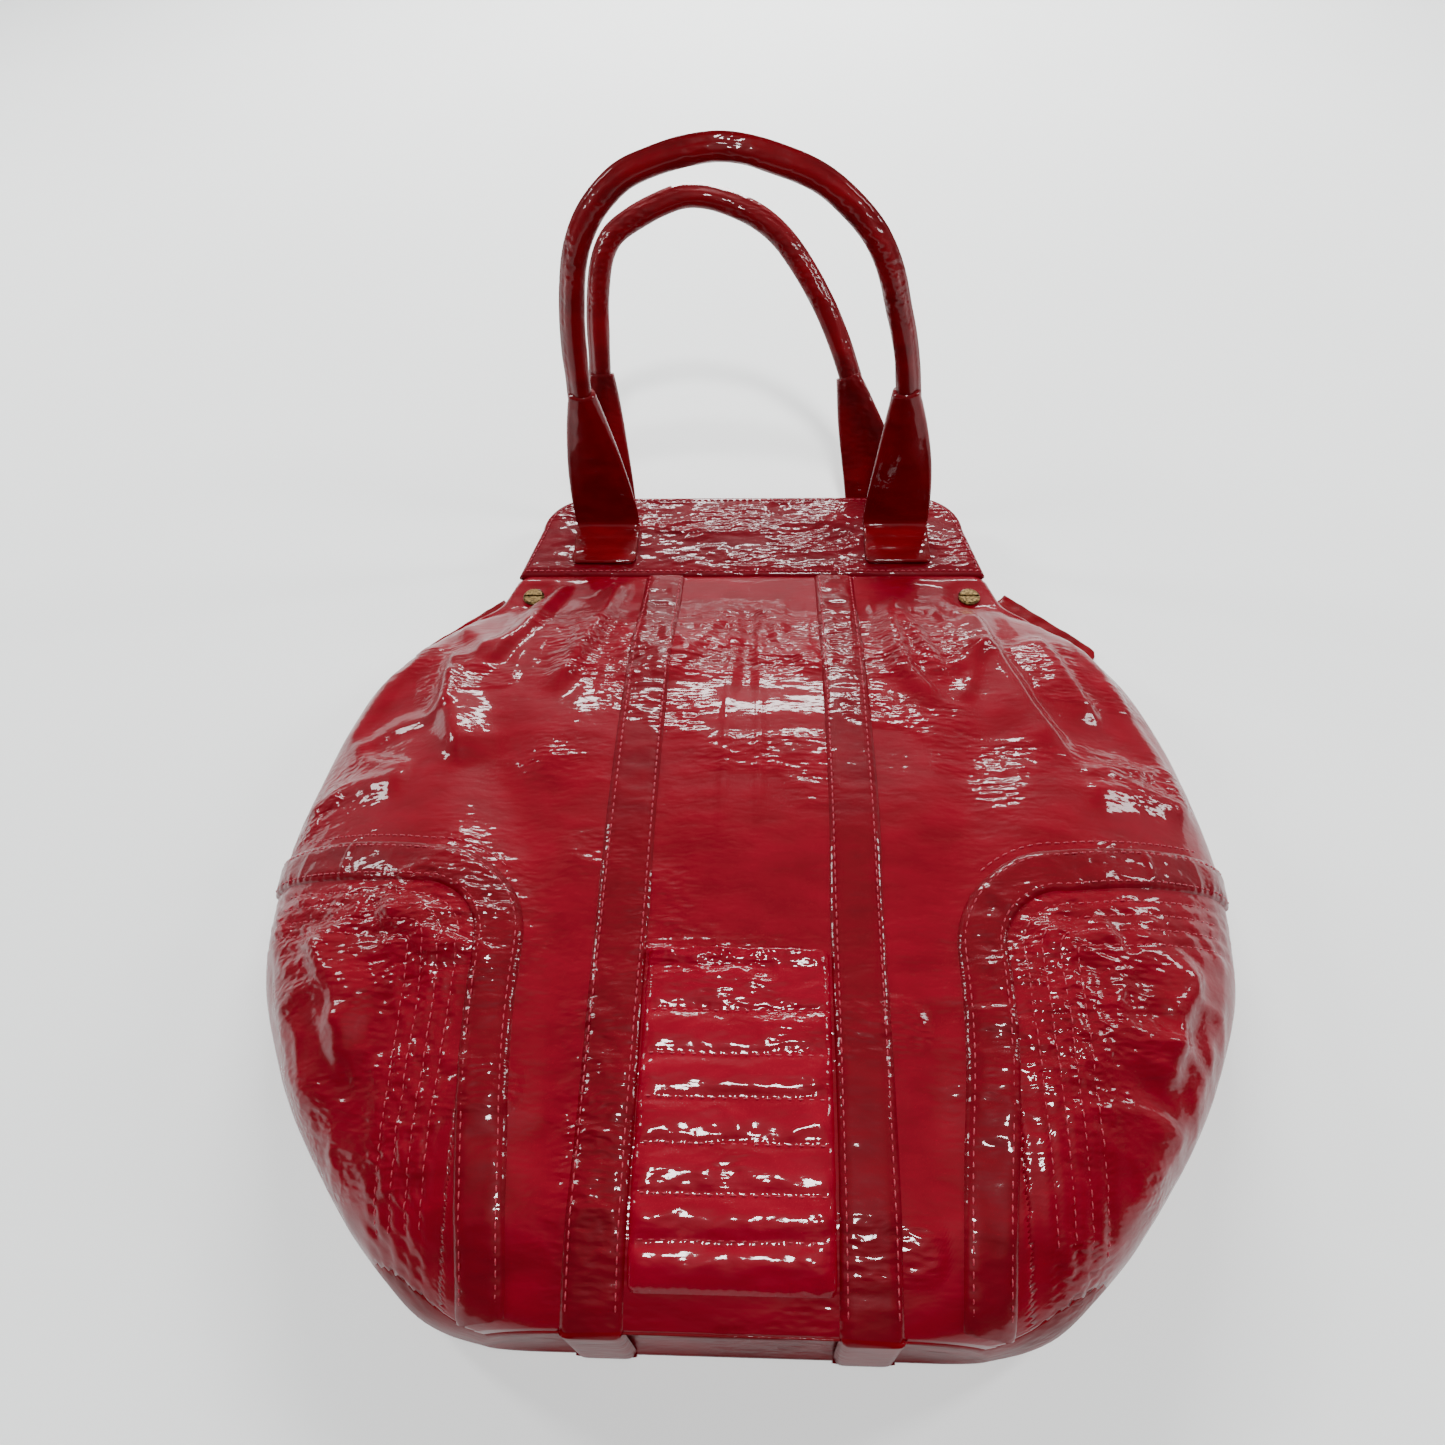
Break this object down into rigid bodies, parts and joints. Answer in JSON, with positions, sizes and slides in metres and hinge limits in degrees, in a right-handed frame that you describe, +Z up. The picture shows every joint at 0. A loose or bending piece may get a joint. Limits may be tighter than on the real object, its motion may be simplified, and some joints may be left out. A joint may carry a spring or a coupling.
{
  "type": "frame handbag",
  "caption": "Large soft frame handbag in crinkled red patent leather with two handles, quilted side patches, long straps and a hinged top frame clamped by slotted screws.",
  "frame": {"origin": "middle of the bounding box in X and Y, on the floor the bag lies on", "axes": "+X to the right of someone looking at the front with the handles at the far end, +Y from the base to the mouth, +Z up, out of the front"},
  "size_m": [0.4422, 0.5506, 0.2395],
  "materials": {
    "red_patent_leather": "crinkled patent, high gloss",
    "dark_patent_leather": "crinkled patent, high gloss",
    "lining_cloth": "matt twill",
    "antique_brass": "antiqued",
    "frame_steel": "brushed",
    "stiffener_board": "matt pressed board",
    "handle_cord": "twisted cotton"
  },
  "bodies": {
    "bag": {"base_panel": "dark_patent_leather", "base_board": "stiffener_board", "lining": "lining_cloth", "front_center_panel": "red_patent_leather", "front_side_panel_left": "red_patent_leather", "front_side_panel_right": "red_patent_leather", "front_pocket": "red_patent_leather", "strap_left": "red_patent_leather", "strap_right": "red_patent_leather", "quilted_patch_left": "red_patent_leather", "quilted_patch_right": "red_patent_leather", "curved_band_left": "red_patent_leather", "curved_band_right": "red_patent_leather", "back_center_panel": "red_patent_leather", "back_side_panel_left": "red_patent_leather", "back_side_panel_right": "red_patent_leather", "band_back": "red_patent_leather", "facing_back": "red_patent_leather", "frame_bar_back": "frame_steel", "magnet_back": "frame_steel", "screw_back_left": "antique_brass", "screw_back_right": "antique_brass", "post_back_left": "antique_brass", "post_back_right": "antique_brass", "hinge_rivet_left": "antique_brass", "hinge_rivet_right": "antique_brass", "hinge_washer_left": "frame_steel", "hinge_washer_right": "frame_steel", "back_handle_anchor_left": "red_patent_leather", "back_handle_anchor_right": "red_patent_leather"},
    "front_frame": {"frame_bar_front": "frame_steel", "band_front": "red_patent_leather", "facing_front": "red_patent_leather", "magnet_front": "frame_steel", "front_wing_left": "red_patent_leather", "front_wing_right": "red_patent_leather", "screw_front_left": "antique_brass", "screw_front_right": "antique_brass", "post_front_left": "antique_brass", "post_front_right": "antique_brass", "front_handle_anchor_left": "red_patent_leather", "front_handle_anchor_right": "red_patent_leather"},
    "front_handle": {"front_handle_tab_left": "red_patent_leather", "front_handle_tab_right": "red_patent_leather", "front_handle_cover": "red_patent_leather", "front_handle_core": "handle_cord"},
    "back_handle": {"back_handle_tab_left": "red_patent_leather", "back_handle_tab_right": "red_patent_leather", "back_handle_cover": "red_patent_leather", "back_handle_core": "handle_cord"},
    "side_tab_left": {"side_tab_left": "dark_patent_leather"},
    "side_tab_right": {"side_tab_right": "dark_patent_leather"}
  },
  "joints": [
    {"name": "frame_open", "type": "hinge", "parent": "bag", "child": "front_frame", "pos_m": [0, 0.08417, 0.0127], "axis": [1, 0, 0], "range_deg": [0, 45]},
    {"name": "front_handle_swing", "type": "hinge", "parent": "front_frame", "child": "front_handle", "pos_m": [0, 0.15417, 0.0247], "axis": [1, 0, 0], "range_deg": [-12, 48]},
    {"name": "back_handle_swing", "type": "hinge", "parent": "bag", "child": "back_handle", "pos_m": [0, 0.18417, 0.0019], "axis": [1, 0, 0], "range_deg": [-58, 10]},
    {"name": "side_tab_lift_left", "type": "hinge", "parent": "bag", "child": "side_tab_left", "pos_m": [-0.146, 0.08817, 0.0008], "axis": [0.7268, 0.6868, 0], "range_deg": [0, 20]},
    {"name": "side_tab_lift_right", "type": "hinge", "parent": "bag", "child": "side_tab_right", "pos_m": [0.152, 0.09717, 0.0008], "axis": [0.7268, -0.6868, 0], "range_deg": [0, 20]}
  ]
}
